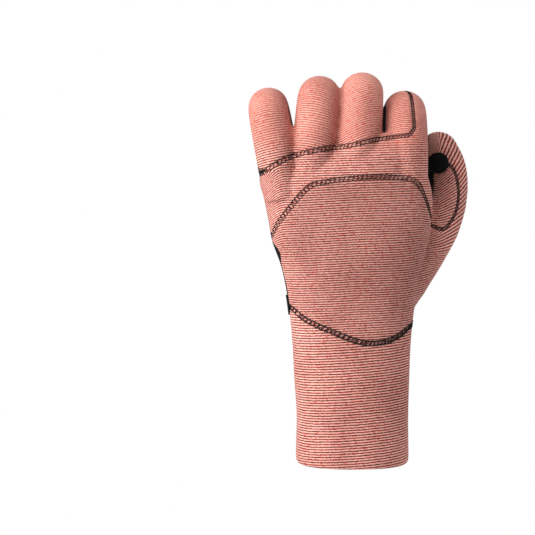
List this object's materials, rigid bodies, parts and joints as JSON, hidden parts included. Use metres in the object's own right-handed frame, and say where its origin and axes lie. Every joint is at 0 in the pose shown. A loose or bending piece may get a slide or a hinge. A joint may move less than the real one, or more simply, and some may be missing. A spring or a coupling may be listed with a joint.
{
  "type": "diving glove",
  "caption": "Left-hand neoprene diving glove with pre-curved fingers, a knit-faced back and long cuff, a plain palm panel and visible overlocked seams.",
  "frame": {"origin": "centre of the cuff's opening, in the plane of its hem", "axes": "+Z from the cuff up the hand to the fingers, +X towards the thumb, +Y out of the palm, the way the fingers curl"},
  "size_m": [0.1394, 0.0927, 0.2433],
  "materials": {
    "knit_face": "matt striped knit",
    "smooth_skin": "matt neoprene skin"
  },
  "bodies": {
    "root": {"cuff": "knit_face", "hand_back": "knit_face", "knuckle_panel": "knit_face", "little_finger_back": "knit_face", "ring_finger_back": "knit_face", "middle_finger_back": "knit_face", "index_finger_back": "knit_face", "palm": "smooth_skin", "thumb_front": "smooth_skin", "little_finger_front": "smooth_skin", "ring_finger_front": "smooth_skin", "middle_finger_front": "smooth_skin", "index_finger_front": "smooth_skin", "thumb_patch": "smooth_skin", "palm_patch": "smooth_skin", "ulnar_patch": "smooth_skin"}
  },
  "joints": []
}
